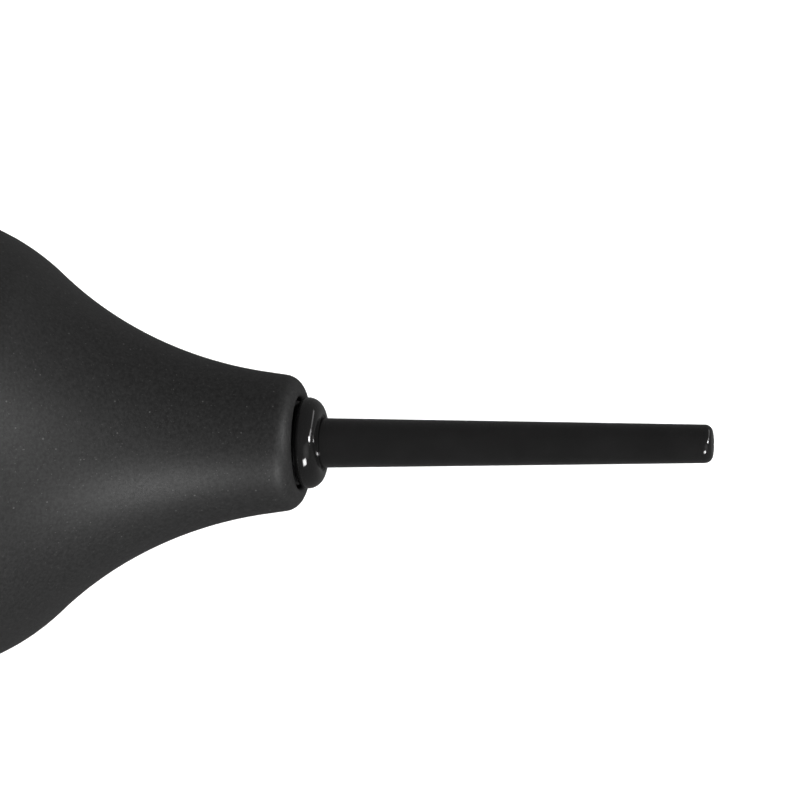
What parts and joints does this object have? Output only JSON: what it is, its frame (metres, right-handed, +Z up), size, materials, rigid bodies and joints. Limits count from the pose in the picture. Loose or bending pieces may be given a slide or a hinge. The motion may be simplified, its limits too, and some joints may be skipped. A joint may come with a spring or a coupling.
{
  "type": "dust blower bulb",
  "caption": "Hand-squeezed rubber bulb with a flared neck, a screw-in tapered nozzle with a rounded collar, and a one-way air intake in its flat base.",
  "frame": {"origin": "middle of the foot ring's flat face, under the bulb", "axes": "+Z up along the common axis of bulb and nozzle, towards the nozzle's tip; the body is round about Z, and one of the cage's spokes lies along +X"},
  "size_m": [0.062, 0.062, 0.1352],
  "materials": {
    "bulb_rubber": "matte moulded black rubber with a fine speckle of pale dust",
    "nozzle_plastic": "smooth glossy black moulded plastic",
    "bush_nylon": "matte dark nylon",
    "seal_rubber": "smooth black seal rubber",
    "intake_plastic": "finely textured black plastic",
    "disc_silicone": "soft grey silicone",
    "cage_nylon": "natural off-white nylon",
    "filter_foam": "open-cell grey foam"
  },
  "bodies": {
    "base": {"bulb": "bulb_rubber", "intake_housing": "intake_plastic", "intake_cage": "cage_nylon", "intake_filter": "filter_foam", "intake_cover": "intake_plastic"},
    "neck": {"neck_bush": "bush_nylon"},
    "seal": {"nozzle_seal_ring": "seal_rubber"},
    "nozzle": {"nozzle": "nozzle_plastic"},
    "valve_disc": {"intake_disc": "disc_silicone"}
  },
  "joints": [
    {"name": "bulb_squeeze", "type": "slide", "parent": "base", "child": "neck", "axis": [0, 0, -1], "range_m": [0, 0.016], "stiffness_N_per_m": 2500, "deforming": ["bulb"]},
    {"name": "nozzle_travel", "type": "slide", "parent": "neck", "child": "seal", "axis": [0, 0, 1], "range_m": [0, 0.006]},
    {"name": "nozzle_turn", "type": "hinge", "parent": "seal", "child": "nozzle", "pos_m": [0, 0, 0.0818], "axis": [0, 0, 1], "range_deg": [0, 1080]},
    {"name": "intake_disc_lift", "type": "slide", "parent": "base", "child": "valve_disc", "axis": [0, 0, 1], "range_m": [0, 0.001]}
  ],
  "couplings": [
    {"joint": "nozzle_turn", "follows": "nozzle_travel", "rad_per_m": 3141.6}
  ]
}
